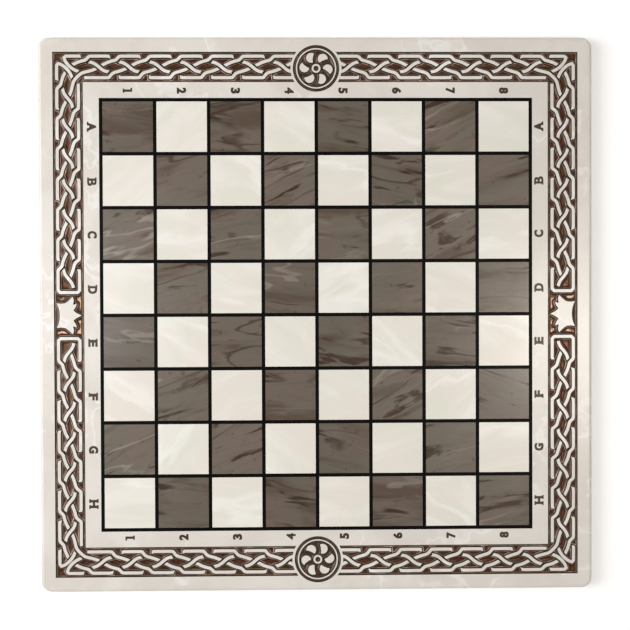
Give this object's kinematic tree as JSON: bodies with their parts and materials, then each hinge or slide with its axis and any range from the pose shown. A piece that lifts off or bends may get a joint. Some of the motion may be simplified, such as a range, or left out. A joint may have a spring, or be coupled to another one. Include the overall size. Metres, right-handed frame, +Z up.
{
  "type": "chess and draughts board",
  "caption": "Square stone-look board with inlaid dark and light squares between black joints, a wide border carved with knotwork, and a cloth underside.",
  "frame": {"origin": "centre of the underside, on the surface that the board lies on", "axes": "+Z up out of the playing surface; +X from square 1 to square 8; +Y from row h to row a, which is the top of the picture"},
  "size_m": [0.516, 0.516, 0.016],
  "materials": {
    "pale_stone": "polished cast stone, pearl white",
    "light_stone": "polished cast stone, pearl white with faint swirls",
    "dark_stone": "polished cast stone, taupe brown with darker streaks",
    "joint": "black filled joint, polished flush",
    "panel": "plain fibreboard",
    "baize": "baize cloth"
  },
  "bodies": {
    "root": {"baize_sheet": "baize", "base_panel": "panel", "border_frame": "pale_stone", "joint_lattice": "joint", "dark_squares_a": "dark_stone", "dark_squares_b": "dark_stone", "dark_squares_c": "dark_stone", "dark_squares_d": "dark_stone", "dark_squares_e": "dark_stone", "dark_squares_f": "dark_stone", "dark_squares_g": "dark_stone", "dark_squares_h": "dark_stone", "light_squares_a": "light_stone", "light_squares_b": "light_stone", "light_squares_c": "light_stone", "light_squares_d": "light_stone", "light_squares_e": "light_stone", "light_squares_f": "light_stone", "light_squares_g": "light_stone", "light_squares_h": "light_stone"}
  },
  "joints": []
}
